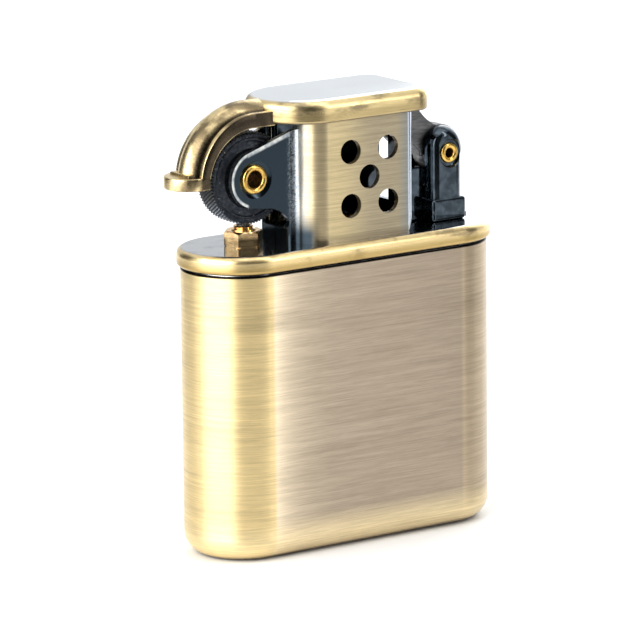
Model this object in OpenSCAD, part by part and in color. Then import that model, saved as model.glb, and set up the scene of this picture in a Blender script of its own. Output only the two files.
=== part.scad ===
// Lift-arm petrol lighter: an outer case, a pull-out insert with the fuel tank, chimney, flint wheel
// and flint tube, and a snuffer cap that swings on an arm from a hinge post.
// Origin: centre of the base. +X runs from the wheel towards the hinge, +Y to the back, +Z up.

/* [Case] */
// Length of the case, end to end
case_length = 42.4; // [41:0.1:44]
// Width of the case, front to back
case_width = 14.2; // [14:0.1:15]
// Height of the case up to its open rim
case_height = 35.2; // [34:0.1:40]
// Thickness of the case wall
case_wall = 0.7; // [0.5:0.05:0.8]
// Radius round the bottom edge of the case
case_edge_r = 2.8; // [1.5:0.1:3.2]

/* [Top plate] */
// Dark gap between the case rim and the top plate
seam_gap = 0.25; // [0.2:0.05:0.4]
// How far the top plate stands out past the case all round
plate_overhang = 0.45; // [0.2:0.05:0.6]
// Thickness of the top plate
plate_thickness = 2.25; // [1.8:0.05:2.5]

/* [Chimney] */
// Height of the chimney above the top plate
chimney_height = 15.2; // [14.9:0.05:15.3]
// Half the width of the chimney, front to back
chimney_half_w = 5.8; // [5.4:0.1:5.9]
// Thickness of the chimney and ear sheet
sheet_t = 0.7; // [0.5:0.05:0.7]
// Radius of the air holes
hole_r = 1.48; // [1:0.02:1.6]
// Distance of the outer air holes from the middle one, along the lighter
hole_dx = 2.75; // [2:0.05:3]
// Distance of the outer air holes from the middle one, up and down
hole_dz = 3.3; // [2.5:0.05:3.5]

/* [Flint wheel] */
// Distance of the wheel's axis from the middle of the lighter
wheel_x = -13.45; // [-13.6:0.05:-13.3]
// Height of the wheel's axis above the top plate
wheel_rise = 8.35; // [8.2:0.05:8.5]
// Radius of the flint wheel over its knurling
wheel_r = 5.68; // [5.2:0.02:5.7]
// Half the thickness of the flint wheel
wheel_half_w = 1.7; // [1.5:0.05:1.75]
// Outside face of the ears that carry the wheel, from the middle plane
ear_face_y = 2.8; // [2.8:0.05:3]

/* [Cap and lever] */
// Height of the cap's lower rim above the top plate
cap_rise = 14.8; // [14.7:0.05:14.9]
// Thickness of the cap
cap_thickness = 2.8; // [2.7:0.05:3]
// Half the width of the cap
cap_half_w = 6.6; // [6.5:0.05:6.8]
// Outside radius of the bend in the thumb lever's ridge
lever_ridge_r = 9.2; // [9:0.05:9.2]
// Radius of the hollow that the thumb lever leaves for the wheel
lever_hollow_r = 6.45; // [6.2:0.05:6.5]
// Half the width of the thumb lever
lever_half_w = 2.9; // [2.8:0.05:3.1]

/* [Hinge] */
// Distance of the hinge axis from the middle of the lighter
hinge_x = 15.2; // [15.1:0.05:15.3]
// Height of the hinge axis above the top plate
hinge_rise = 8.3; // [8.2:0.05:8.4]
// Half the width of the hinge post along the lighter
post_half_x = 2.4; // [2.2:0.05:2.4]
// Half the width of the hinge post, front to back
post_half_y = 3.2; // [3:0.05:3.3]
// Half the thickness of the hinge arm
arm_half_t = 1.2; // [1:0.05:1.2]

/* [Flint] */
// Outside radius of the flint tube
tube_r = 1.22; // [1.2:0.01:1.25]
// Bore radius of the flint tube
tube_bore_r = 0.85; // [0.8:0.01:0.86]
// Distance across the flats of the flint tube nut
nut_flats = 4.2; // [3.8:0.05:4.3]

/* [Hidden] */
$fn = 64;
join = 0.05;          // overlap that joins two shapes of one piece
through = 60;         // long enough to cut right through the lighter
proud = 1;            // how far a cutting shape runs past the face that it cuts
fit = 0.02;           // clearance of a pressed or screwed fit
case_r = case_width / 2;
cut_edge_r = 0.3;

// Top plate
plate_z0 = case_height + seam_gap;
plate_z1 = plate_z0 + plate_thickness;
plate_top_edge = 0.85;
plate_low_edge = 0.5;

// Insert: tank, packing, felt and wick
tank_gap = 0.15;
tank_wall = 0.4;
tank_r = case_r - case_wall - tank_gap;
tank_z0 = 3.4;
packing_gap = 0.06;
packing_z0 = 5.0;
packing_z1 = plate_z0 - 0.9;
felt_z0 = 3.6;
felt_z1 = packing_z0 - 0.1;
wick_x = -2.9;
wick_r = 1.5;
wick_z0 = 20;
wick_z1 = plate_z1 + 7.4;
wick_tube_r = 1.95;
wick_tube_bore_r = 1.6;
wick_flange_r = 2.6;
wick_flange_t = 0.4;
wick_tube_z1 = plate_z1 + 2.6;
hole_clearance = 0.05;

// Chimney: plan of the sheet on the front half, with the round corner that runs into the ear
chimney_x1 = 7.7;
chimney_z1 = plate_z1 + chimney_height;
flat_x0 = -4.66;
corner_turn = 75;
corner_r = 3.0;
fillet_r = (chimney_half_w - ear_face_y) / (1 - cos(corner_turn)) - corner_r;
end_r = 0.72;
end_slot_half = 1.4;
end_sill_h = 3.3;
ear_reach = -18;
ear_r = 3.45;
wheel_z = plate_z1 + wheel_rise;
ear_recess_r = 2.3;
ear_recess_depth = 0.3;
holes_x = 1.1;
holes_z = plate_z1 + 7.5;
low_wall_x0 = -8.8;
low_wall_t = 0.5;
low_wall_h = 1.7;
low_wall_seam = 0.06;
low_wall_groove = 0.2;
low_wall_cut_h = 2.0;
body_x0 = -7.6;
ear_slope = 108;
ear_low_turn = 260;
ear_root_drop = 1.3;
end_cut_w = 0.8;
end_cut_h = 2.7;
notch_x = -11.9;
notch_rise = 0.9;
notch_r = 3.75;
notch_turns = [28, 92];
foot_x0 = -0.4;
foot_x1 = 6.2;
foot_y0 = 3.2;
foot_t = 0.5;
foot_rivets_x = [1.0, 4.8];
foot_rivet_y = 4.1;
foot_rivet_r = 0.5;
foot_rivet_head_r = 0.85;
rivet_head_t = 0.35;

// Wheel, axle and washers
axle_r = 1.4;
axle_bore_r = 1.02;
axle_flange_r = 1.8;
axle_flange_t = 0.35;
axle_seat_y = ear_face_y - ear_recess_depth;
running_clearance = 0.05;
washer_r = 2.5;
axle_washer_t = 0.2;

// Flint tube and what is in it
nut_h = 1.9;
tube_z0 = 4.6;
tube_z1 = plate_z1 + 2.45;
flint_r = 0.76;
flint_z1 = tube_z1 + 0.1;
flint_z0 = flint_z1 - 5;
plunger_head_t = 1.6;
plunger_stem_r = 0.42;
plunger_stem_l = 4;
spring_r = 0.78;
spring_bore_r = 0.5;
screw_head_r = 2.1;
screw_head_t = 1.4;
screw_z0 = 3.0;
screw_shank_r = 0.79;
screw_shank_l = 4;
screw_slot_w = 0.6;
screw_slot_depth = 0.6;
felt_hole_r = 2.6;

// Hinge
post_x = 14.8;
hinge_z = plate_z1 + hinge_rise;
slot_half = 1.45;
post_dome_z = hinge_z + 0.9;
post_edge_r = 1.1;
post_edge_steps = 5;
post_slice = 0.02;
post_leg_sink = 1;
post_base_h = 2.8;
post_base_grow_x = 0.15;
post_base_grow_y = 0.2;
post_web_h = 3.3;
post_recess_r = 1.72;
post_recess_depth = 0.5;
hinge_rivet_r = 1.0;
hinge_rivet_bore_r = 0.55;
hinge_rivet_flange_r = 1.28;
hinge_rivet_flange_t = 0.35;
bush_r = 1.4;
hinge_washer_r = 2.1;
hinge_washer_t = 0.15;
hinge_washer_y = 1.25;
screws_x = [13.7, 15.9];
post_screw_r = 0.55;
post_screw_depth = 1.7;
post_screw_head_r = 1.0;
post_screw_head_t = 0.5;
stop_x0 = 9.6;
stop_x1 = post_x - post_half_x - post_base_grow_x;
stop_h = 6.7;
stop_half = 1.3;
spring_t = 0.3;
spring_half = 1.1;
spring_z = hinge_z - 4.05;
spring_leg_x = post_x + post_half_x + post_base_grow_x + 0.1;
spring_foot = 1.6;
spring_leaf_x = post_x - post_half_x + 0.2;
spring_leaf_l = spring_leg_x + spring_t - spring_leaf_x;

// Hinge arm: outline points beside the round end, in X and Z from the hinge axis
arm_end_r = 3.35;
arm_end_x = -0.3;
arm_heel_r = 2.75;
arm_back = [[-4.6, 7.9], [-3.7, 6.0], [-2.9, 5.0], [-2.0, 4.1], [-1.1, 3.5]];
arm_front = [[0, 0], [-2.9, -1.0], [-3.25, -0.7], [-3.35, 0.5], [-4.3, 1.3], [-6.6, 1.7], [-7.2, 2.3],
             [-7.2, 4.4], [-8.2, 5.9], [-9.6, 8.2]];
tongue_x0 = -1.6;
tongue_x1 = 9.2;
tongue_half = 2.5;
tongue_t = 1.1;
arm_rivets_x = [0.8, 4.8];
arm_rivet_r = 0.7;
arm_rivet_head_r = 1.2;
arm_rivet_depth = 0.5;

// Snuffer cap
cap_z0 = plate_z1 + cap_rise;
cap_z1 = cap_z0 + cap_thickness;
cap_left_x = -5.0;
cap_right_x = 10.4;
cap_corner_r = 2.4;
cap_top_edge = 1.15;
cap_low_edge = 0.45;
cap_rim = 0.6;
cap_ceiling = cap_z0 + 1.8;
pad_x = -6.2;
pad_r = 4.4;
pad_t = 0.9;

// Thumb lever: a raised ridge between two flat flanges, bent round the wheel
lever_bend_x = -13.2;
lever_bend_z = plate_z1 + 8.4;
lever_hollow_x = -13.5;
lever_hollow_z = plate_z1 + 8.15;
lever_inner_r = 5.6;
lever_under_z = plate_z1 + 14.5;
ridge_half = 1.9;
ridge_round_r = 2.0;
flange_top_r = lever_ridge_r - 1.15;
lever_foot_z = plate_z1 + 7.9;
tab_t = 1.55;
tab_x = -21.3;

// Points along an arc
function arc(c, r, a0, a1, n) =
    [for (i = [0 : n]) c + r * [cos(a0 + (a1 - a0) * i / n), sin(a0 + (a1 - a0) * i / n)]];

// Half section of a plate of half width r, with rounded upper and lower edges
module edge_profile(r, z0, z1, top_r, low_r) {
    translate([0, z0 + low_r]) square([r, z1 - z0 - low_r - top_r]);
    translate([0, z0]) square([r - low_r, low_r + join]);
    translate([0, z1 - top_r - join]) square([r - top_r, top_r + join]);
    translate([r - top_r, z1 - top_r]) circle(top_r);
    translate([r - low_r, z0 + low_r]) circle(low_r);
}

// Solid with straight sides and half-round ends
module long_round(length, width, z0, z1, top_r, low_r) {
    run = (length - width) / 2;
    for (side = [-1, 1])
        translate([side * run, 0, 0])
            rotate([0, 0, -90 * side])
                rotate_extrude(angle = 180) edge_profile(width / 2, z0, z1, top_r, low_r);
    rotate([90, 0, 90])
        linear_extrude(height = 2 * run, center = true)
            for (side = [0, 1])
                mirror([side, 0]) edge_profile(width / 2, z0, z1, top_r, low_r);
}

// Flat outline with straight sides and half-round ends
module long_outline(length, width) {
    run = (length - width) / 2;
    square([2 * run, width], center = true);
    for (side = [-1, 1]) translate([side * run, 0]) circle(width / 2);
}

// Cylinder along Y between two distances from the middle plane
module rod_y(x, z, r, y0, y1) {
    translate([x, y0, z]) rotate([-90, 0, 0]) cylinder(r = r, h = y1 - y0);
}

// Flat shape drawn in X and Z, given a thickness from y0 to y1
module slab_y(y0, y1) {
    translate([0, y1, 0]) rotate([90, 0, 0]) linear_extrude(height = y1 - y0) children();
}

module outer_case() {
    inner_edge = case_edge_r - case_wall;
    color("darkkhaki")
        difference() {
            long_round(case_length, case_width, 0, case_height + proud, cut_edge_r, case_edge_r);
            long_round(case_length - 2 * case_wall, case_width - 2 * case_wall,
                       case_wall, case_height + 2 * proud, cut_edge_r, inner_edge);
            translate([0, 0, case_height])
                linear_extrude(height = 3 * proud)
                    square([case_length + 2 * proud, case_width + 2 * proud], center = true);
        }
}

// Hole through the top plate and a chimney foot for a part of radius r
module plate_hole(x, y, r) {
    translate([x, y, plate_z0 - proud])
        cylinder(r = r + hole_clearance, h = plate_thickness + foot_t + 2 * proud);
}

module top_plate() {
    color("darkkhaki")
        difference() {
            long_round(case_length + 2 * plate_overhang, case_width + 2 * plate_overhang,
                       plate_z0, plate_z1, plate_top_edge, plate_low_edge);
            plate_hole(wheel_x, 0, tube_r);
            plate_hole(wick_x, 0, wick_tube_r);
            for (x = screws_x) plate_hole(x, 0, post_screw_r);
            for (x = foot_rivets_x, side = [-1, 1]) plate_hole(x, side * foot_rivet_y, foot_rivet_r);
        }
}

module fuel_tank() {
    tank_length = case_length - case_width + 2 * tank_r;
    color("silver")
        translate([0, 0, tank_z0])
            linear_extrude(height = plate_z0 - tank_z0)
                difference() {
                    long_outline(tank_length, 2 * tank_r);
                    long_outline(tank_length - 2 * tank_wall, 2 * (tank_r - tank_wall));
                }
}

// A block that fills the tank's section between two heights
module tank_fill(z0, z1) {
    fill_r = tank_r - tank_wall - packing_gap;
    translate([0, 0, z0])
        linear_extrude(height = z1 - z0) long_outline(case_length - case_width + 2 * fill_r, 2 * fill_r);
}

module cotton_packing() {
    color("ivory")
        difference() {
            tank_fill(packing_z0, packing_z1);
            translate([wheel_x, 0, 0]) cylinder(r = tube_r + hole_clearance, h = through);
            translate([wick_x, 0, wick_z0]) cylinder(r = wick_r + hole_clearance, h = through);
        }
}

module felt_pad() {
    color("lightgray")
        difference() {
            tank_fill(felt_z0, felt_z1);
            translate([wheel_x, 0, 0]) cylinder(r = felt_hole_r, h = through);
        }
}

module wick() {
    color("white")
        translate([wick_x, 0, wick_z0]) cylinder(r = wick_r, h = wick_z1 - wick_z0);
}

module wick_tube() {
    color("goldenrod")
        translate([wick_x, 0, 0])
            difference() {
                union() {
                    translate([0, 0, plate_z0]) cylinder(r = wick_tube_r, h = wick_tube_z1 - plate_z0);
                    translate([0, 0, plate_z1]) cylinder(r = wick_flange_r, h = wick_flange_t);
                }
                cylinder(r = wick_tube_bore_r, h = through);
            }
}

// Front half of the chimney sheet seen from above, as a closed outline
module sheet_plan() {
    end_c = [chimney_x1 - end_r, end_r - chimney_half_w];
    turn_c = [flat_x0, corner_r - chimney_half_w];
    ear_turn = -90 - corner_turn;
    fillet_c = turn_c + (corner_r + fillet_r) * [cos(ear_turn), sin(ear_turn)];
    polygon(concat(
        [[chimney_x1, -end_slot_half]],
        arc(end_c, end_r, 0, -90, 6),
        arc(turn_c, corner_r, -90, ear_turn, 14),
        arc(fillet_c, fillet_r, ear_turn + 180, 90, 6),
        [[ear_reach, -ear_face_y], [ear_reach, sheet_t - ear_face_y]],
        arc(fillet_c, fillet_r + sheet_t, 90, ear_turn + 180, 6),
        arc(turn_c, corner_r - sheet_t, ear_turn, -90, 14),
        arc(end_c, end_r - sheet_t, -90, 0, 2),
        [[chimney_x1 - sheet_t, -end_slot_half]]));
}

// Side outline of the chimney and its ears
module sheet_side() {
    axis = [wheel_x, wheel_z];
    right = chimney_x1 + proud;
    end_cut_z = plate_z1 + end_cut_h;
    translate(axis) circle(ear_r);
    polygon(concat(
        [axis + ear_r * [cos(ear_slope), sin(ear_slope)], [body_x0, chimney_z1 - ear_root_drop]],
        [[body_x0, chimney_z1], [right, chimney_z1], [right, end_cut_z], [chimney_x1, end_cut_z]],
        [[chimney_x1 - end_cut_w, plate_z1], [low_wall_x0, plate_z1]],
        [[low_wall_x0, plate_z1 + low_wall_cut_h]],
        arc([notch_x, plate_z1 + notch_rise], notch_r, notch_turns[0], notch_turns[1], 8),
        [axis + ear_r * [cos(ear_low_turn), sin(ear_low_turn)]]));
}

module chimney() {
    color("darkkhaki")
        difference() {
            union() {
                intersection() {
                    translate([0, 0, plate_z1]) {
                        linear_extrude(height = chimney_height)
                            for (side = [0, 1]) mirror([0, side]) sheet_plan();
                        translate([chimney_x1 - sheet_t, -end_slot_half - join, 0])
                            cube([sheet_t, 2 * (end_slot_half + join), end_sill_h]);
                    }
                    slab_y(-through, through) sheet_side();
                }
                for (side = [0, 1])
                    mirror([0, side, 0]) {
                        translate([low_wall_x0, 0, plate_z1])
                            cube([low_wall_t, ear_face_y - sheet_t + join, low_wall_h]);
                        translate([foot_x0, foot_y0, plate_z1])
                            cube([foot_x1 - foot_x0, chimney_half_w - sheet_t + join - foot_y0, foot_t]);
                    }
            }
            translate([low_wall_x0 - proud, -low_wall_seam, plate_z1])
                cube([proud + low_wall_groove, 2 * low_wall_seam, low_wall_h + proud]);
            rod_y(wheel_x, wheel_z, axle_r + hole_clearance, -through, through);
            for (side = [0, 1])
                mirror([0, side, 0]) rod_y(wheel_x, wheel_z, ear_recess_r, axle_seat_y, through);
            rod_y(holes_x, holes_z, hole_r, -through, through);
            for (sx = [-1, 1], sz = [-1, 1])
                rod_y(holes_x + sx * hole_dx, holes_z + sz * hole_dz, hole_r, -through, through);
            for (x = foot_rivets_x, side = [-1, 1]) plate_hole(x, side * foot_rivet_y, foot_rivet_r);
        }
}

module chimney_rivets() {
    color("goldenrod")
        for (x = foot_rivets_x, side = [-1, 1])
            translate([x, side * foot_rivet_y, plate_z0]) {
                cylinder(r = foot_rivet_r, h = plate_thickness + foot_t + join);
                translate([0, 0, plate_thickness + foot_t]) cylinder(r = foot_rivet_head_r, h = rivet_head_t);
            }
}

module flint_wheel() {
    color("dimgray")
        difference() {
            rod_y(wheel_x, wheel_z, wheel_r, -wheel_half_w, wheel_half_w);
            rod_y(wheel_x, wheel_z, axle_r + running_clearance, -through, through);
        }
}

module wheel_axle() {
    color("gold")
        difference() {
            union() {
                rod_y(wheel_x, wheel_z, axle_r, -axle_seat_y - join, axle_seat_y + join);
                for (side = [0, 1])
                    mirror([0, side, 0])
                        rod_y(wheel_x, wheel_z, axle_flange_r, axle_seat_y, axle_seat_y + axle_flange_t);
            }
            rod_y(wheel_x, wheel_z, axle_bore_r, -through, through);
        }
}

module axle_washers() {
    gap = ear_face_y - sheet_t - wheel_half_w;
    washer_y = wheel_half_w + (gap - axle_washer_t) / 2;
    color("silver")
        for (side = [0, 1])
            mirror([0, side, 0])
                difference() {
                    rod_y(wheel_x, wheel_z, washer_r, washer_y, washer_y + axle_washer_t);
                    rod_y(wheel_x, wheel_z, axle_r + running_clearance, -through, through);
                }
}

module flint_tube() {
    color("goldenrod")
        translate([wheel_x, 0, tube_z0])
            difference() {
                cylinder(r = tube_r, h = tube_z1 - tube_z0);
                translate([0, 0, -proud]) cylinder(r = tube_bore_r, h = through);
            }
}

module flint_nut() {
    color("goldenrod")
        translate([wheel_x, 0, plate_z1])
            difference() {
                cylinder(r = nut_flats / 2 / cos(30), h = nut_h, $fn = 6);
                translate([0, 0, -proud]) cylinder(r = tube_r + fit, h = nut_h + 2 * proud);
            }
}

module flint() {
    color("slategray")
        translate([wheel_x, 0, flint_z0]) cylinder(r = flint_r, h = flint_z1 - flint_z0);
}

module flint_plunger() {
    head_z = flint_z0 - join - plunger_head_t;
    color("goldenrod")
        translate([wheel_x, 0, 0]) {
            translate([0, 0, head_z]) cylinder(r = spring_r, h = plunger_head_t);
            translate([0, 0, head_z - plunger_stem_l])
                cylinder(r = plunger_stem_r, h = plunger_stem_l + join);
        }
}

module flint_spring() {
    spring_z0 = screw_z0 + screw_head_t + screw_shank_l + join;
    spring_z1 = flint_z0 - plunger_head_t - 2 * join;
    color("lightsteelblue")
        translate([wheel_x, 0, spring_z0])
            difference() {
                cylinder(r = spring_r, h = spring_z1 - spring_z0);
                translate([0, 0, -proud]) cylinder(r = spring_bore_r, h = through);
            }
}

module flint_screw() {
    color("goldenrod")
        translate([wheel_x, 0, screw_z0])
            difference() {
                union() {
                    cylinder(r = screw_head_r, h = screw_head_t);
                    cylinder(r = screw_shank_r, h = screw_head_t + screw_shank_l);
                }
                translate([-screw_head_r - proud, -screw_slot_w / 2, -proud])
                    cube([2 * (screw_head_r + proud), screw_slot_w, screw_slot_depth + proud]);
            }
}

// Outline of one post cheek, a straight leg under a round dome, drawn in by an inset
module cheek_outline(inset) {
    translate([post_x - post_half_x + inset, plate_z1 + post_leg_sink])
        square([2 * (post_half_x - inset), post_dome_z - plate_z1 - post_leg_sink]);
    translate([post_x, post_dome_z]) circle(post_half_x - inset, $fn = 32);
}

// Cheek with its outer edge rounded: the outline shrinks along a quarter circle
module cheek() {
    hull()
        for (i = [0 : post_edge_steps]) {
            turn = 90 * i / post_edge_steps;
            y = post_half_y - post_edge_r * (1 - sin(turn));
            slab_y(i == 0 ? slot_half : y - post_slice, y) cheek_outline(post_edge_r * (1 - cos(turn)));
        }
}

module hinge_post() {
    base_half_x = post_half_x + post_base_grow_x;
    base_half_y = post_half_y + post_base_grow_y;
    color("darkslategray")
        difference() {
            union() {
                for (side = [0, 1]) mirror([0, side, 0]) cheek();
                translate([post_x - base_half_x, -base_half_y, plate_z1])
                    cube([2 * base_half_x, 2 * base_half_y, post_base_h]);
                translate([post_x - post_half_x, -slot_half - join, plate_z1])
                    cube([2 * post_half_x, 2 * (slot_half + join), post_web_h]);
            }
            rod_y(hinge_x, hinge_z, hinge_rivet_r + fit, -through, through);
            for (side = [0, 1])
                mirror([0, side, 0])
                    rod_y(hinge_x, hinge_z, post_recess_r, post_half_y - post_recess_depth, through);
            for (x = screws_x)
                translate([x, 0, plate_z1 - proud])
                    cylinder(r = post_screw_r + fit, h = proud + post_screw_depth + 2 * join);
        }
}

module post_screws() {
    color("goldenrod")
        for (x = screws_x)
            translate([x, 0, plate_z0 - post_screw_head_t]) {
                cylinder(r = post_screw_head_r, h = post_screw_head_t);
                cylinder(r = post_screw_r, h = post_screw_head_t + plate_thickness + post_screw_depth);
            }
}

module lid_stop() {
    color("darkslategray")
        translate([stop_x0, -stop_half, plate_z1]) cube([stop_x1 - stop_x0, 2 * stop_half, stop_h]);
}

module lid_spring() {
    color("steelblue")
        slab_y(-spring_half, spring_half) {
            translate([spring_leaf_x, spring_z]) square([spring_leaf_l, spring_t]);
            translate([spring_leg_x, plate_z1]) square([spring_t, spring_z + spring_t - plate_z1]);
            translate([spring_leg_x, plate_z1]) square([spring_foot, spring_t]);
        }
}

module hinge_rivet() {
    seat_y = post_half_y - post_recess_depth;
    color("gold")
        difference() {
            union() {
                rod_y(hinge_x, hinge_z, hinge_rivet_r, -seat_y - join, seat_y + join);
                for (side = [0, 1])
                    mirror([0, side, 0])
                        rod_y(hinge_x, hinge_z, hinge_rivet_flange_r, seat_y, seat_y + hinge_rivet_flange_t);
            }
            rod_y(hinge_x, hinge_z, hinge_rivet_bore_r, -through, through);
        }
}

module hinge_washers() {
    color("silver")
        for (side = [0, 1])
            mirror([0, side, 0])
                difference() {
                    rod_y(hinge_x, hinge_z, hinge_washer_r, hinge_washer_y, hinge_washer_y + hinge_washer_t);
                    rod_y(hinge_x, hinge_z, hinge_rivet_r + running_clearance, -through, through);
                }
}

module hinge_arm() {
    axis = [hinge_x, hinge_z];
    color("gray")
        difference() {
            union() {
                slab_y(-arm_half_t, arm_half_t) {
                    translate(axis) circle(arm_heel_r);
                    translate(axis)
                        polygon(concat(arm_back, arc([arm_end_x, 0], arm_end_r, 96, -12, 12), arm_front));
                }
                translate([tongue_x0, -tongue_half, cap_ceiling - tongue_t])
                    cube([tongue_x1 - tongue_x0, 2 * tongue_half, tongue_t]);
            }
            rod_y(hinge_x, hinge_z, bush_r, -through, through);
            for (x = arm_rivets_x) translate([x, 0, cap_z0]) cylinder(r = arm_rivet_r + fit, h = through);
        }
}

module hinge_bush() {
    color("gold")
        difference() {
            rod_y(hinge_x, hinge_z, bush_r, -arm_half_t, arm_half_t);
            rod_y(hinge_x, hinge_z, hinge_rivet_r + running_clearance, -through, through);
        }
}

module arm_rivets() {
    color("gold")
        for (x = arm_rivets_x)
            translate([x, 0, cap_ceiling - tongue_t]) {
                translate([0, 0, -rivet_head_t]) cylinder(r = arm_rivet_head_r, h = rivet_head_t);
                translate([0, 0, -join]) cylinder(r = arm_rivet_r, h = tongue_t + arm_rivet_depth + join);
            }
}

// The cap's outer form: half-round at the wheel end, two small corners at the hinge end
module cap_form(z0, z1, top_r, low_r) {
    half = cap_half_w;
    corner = cap_corner_r;
    corner_x = cap_right_x - corner;
    corner_y = half - corner;
    translate([cap_left_x, 0, 0])
        rotate([0, 0, 90]) rotate_extrude(angle = 180) edge_profile(half, z0, z1, top_r, low_r);
    translate([cap_left_x, 0, 0])
        rotate([90, 0, 90])
            linear_extrude(height = corner_x - cap_left_x)
                for (side = [0, 1]) mirror([side, 0]) edge_profile(half, z0, z1, top_r, low_r);
    for (side = [-1, 1])
        translate([corner_x, side * corner_y, 0])
            rotate([0, 0, side > 0 ? 0 : -90])
                rotate_extrude(angle = 90) edge_profile(corner, z0, z1, top_r, low_r);
    translate([corner_x, corner_y, 0])
        rotate([90, 0, 0])
            linear_extrude(height = 2 * corner_y) edge_profile(corner, z0, z1, top_r, low_r);
}

// The cap's outline seen from above, drawn in by an inset
module cap_outline(inset) {
    half = cap_half_w - inset;
    corner = cap_corner_r - inset;
    corner_x = cap_right_x - inset - corner;
    translate([cap_left_x, 0]) circle(half);
    translate([cap_left_x, -half]) square([corner_x - cap_left_x, 2 * half]);
    translate([corner_x - join, corner - half]) square([corner + join, 2 * (half - corner)]);
    for (side = [-1, 1]) translate([corner_x, side * (half - corner)]) circle(corner);
}

module snuffer_cap() {
    color("darkkhaki")
        difference() {
            cap_form(cap_z0, cap_z1, cap_top_edge, cap_low_edge);
            translate([0, 0, cap_z0 - proud])
                linear_extrude(height = cap_ceiling - cap_z0 + proud) cap_outline(cap_rim);
            translate([chimney_x1, -arm_half_t - join, cap_z0 - proud])
                cube([cap_right_x - chimney_x1 + proud, 2 * (arm_half_t + join),
                      cap_ceiling - cap_z0 + proud]);
            for (x = arm_rivets_x)
                translate([x, 0, cap_z0])
                    cylinder(r = arm_rivet_r + fit, h = cap_ceiling - cap_z0 + arm_rivet_depth + fit);
        }
}

module snuffer_pad() {
    color("burlywood")
        translate([pad_x, 0, cap_ceiling - pad_t]) cylinder(r = pad_r, h = pad_t);
}

// Section of the thumb lever: distance from the wheel's axis across, width up
module lever_section() {
    translate([lever_inner_r, -lever_half_w]) square([flange_top_r - lever_inner_r, 2 * lever_half_w]);
    intersection() {
        translate([lever_ridge_r - ridge_round_r, 0]) circle(ridge_round_r);
        translate([lever_inner_r, -ridge_half]) square([lever_ridge_r, 2 * ridge_half]);
    }
}

module thumb_lever() {
    color("darkkhaki")
        difference() {
            union() {
                translate([lever_bend_x, 0, lever_bend_z])
                    rotate([90, 0, 0])
                        rotate([0, 0, 90]) rotate_extrude(angle = 90) lever_section();
                translate([lever_bend_x, 0, lever_bend_z])
                    rotate([0, 90, 0]) rotate([0, 0, 180])
                        linear_extrude(height = cap_left_x - lever_bend_x) lever_section();
                translate([lever_bend_x, 0, lever_foot_z])
                    rotate([0, 0, 180])
                        linear_extrude(height = lever_bend_z - lever_foot_z) lever_section();
                translate([0, 0, lever_foot_z])
                    linear_extrude(height = tab_t) {
                        translate([tab_x, 0]) circle(lever_half_w);
                        translate([tab_x, -lever_half_w])
                            square([lever_bend_x - lever_inner_r - tab_x, 2 * lever_half_w]);
                    }
            }
            rod_y(lever_hollow_x, lever_hollow_z, lever_hollow_r, -through, through);
            translate([lever_hollow_x, -through / 2, lever_hollow_z])
                cube([through, through, lever_under_z - lever_hollow_z]);
            translate([cap_left_x, 0, plate_z1]) cylinder(r = cap_half_w + fit, h = through);
            translate([cap_left_x, -through / 2, plate_z1]) cube(through);
        }
}

outer_case();
top_plate();
fuel_tank();
cotton_packing();
felt_pad();
wick();
wick_tube();
chimney();
chimney_rivets();
flint_wheel();
wheel_axle();
axle_washers();
flint_tube();
flint_nut();
flint();
flint_plunger();
flint_spring();
flint_screw();
hinge_post();
post_screws();
lid_stop();
lid_spring();
hinge_rivet();
hinge_washers();
hinge_arm();
hinge_bush();
arm_rivets();
snuffer_cap();
snuffer_pad();
thumb_lever();
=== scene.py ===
"""Looks of the lift-arm petrol lighter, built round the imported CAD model.

Sizes are in millimetres while a piece is being shaped, and every piece is scaled to metres once, in done().
+X runs from the flint wheel to the hinge, +Y to the back, +Z up; the case stands on Z = 0.
"""
from math import ceil, cos, hypot, pi, radians, sin, sqrt

import bmesh
import bpy
from mathutils import Matrix, Vector


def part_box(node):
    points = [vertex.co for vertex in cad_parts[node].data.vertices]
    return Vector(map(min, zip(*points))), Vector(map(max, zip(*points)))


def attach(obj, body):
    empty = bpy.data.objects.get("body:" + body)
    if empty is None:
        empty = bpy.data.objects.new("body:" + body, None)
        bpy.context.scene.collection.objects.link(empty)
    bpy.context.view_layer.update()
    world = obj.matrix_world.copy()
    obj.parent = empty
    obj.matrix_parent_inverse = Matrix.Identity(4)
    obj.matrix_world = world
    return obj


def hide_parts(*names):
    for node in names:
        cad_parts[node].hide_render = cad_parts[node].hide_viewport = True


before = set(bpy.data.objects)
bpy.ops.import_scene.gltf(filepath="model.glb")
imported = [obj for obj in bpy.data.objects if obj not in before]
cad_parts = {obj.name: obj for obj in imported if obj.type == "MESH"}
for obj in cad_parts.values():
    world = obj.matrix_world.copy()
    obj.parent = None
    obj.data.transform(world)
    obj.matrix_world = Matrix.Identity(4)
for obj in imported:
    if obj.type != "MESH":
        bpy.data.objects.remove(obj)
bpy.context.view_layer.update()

MM = 0.001
SCENE = bpy.context.scene


def node_box(node):
    """Lowest and highest corner of a CAD node in millimetres."""
    low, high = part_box(node)
    return low / MM, high / MM


# ---- Places and sizes read from the frame ----
CASE_LOW, CASE_HIGH = node_box("outer_case")
PLATE_LOW, PLATE_HIGH = node_box("top_plate")
CHIMNEY_LOW, CHIMNEY_HIGH = node_box("chimney")
WHEEL_LOW, WHEEL_HIGH = node_box("flint_wheel")
CAP_LOW, CAP_HIGH = node_box("snuffer_cap")
LEVER_LOW, LEVER_HIGH = node_box("thumb_lever")
POST_LOW, POST_HIGH = node_box("hinge_post")
PIN_LOW, PIN_HIGH = node_box("hinge_rivet")
ARM_LOW, ARM_HIGH = node_box("hinge_arm")
NUT_LOW, NUT_HIGH = node_box("flint_nut")
TUBE_LOW, TUBE_HIGH = node_box("flint_tube")

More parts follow.
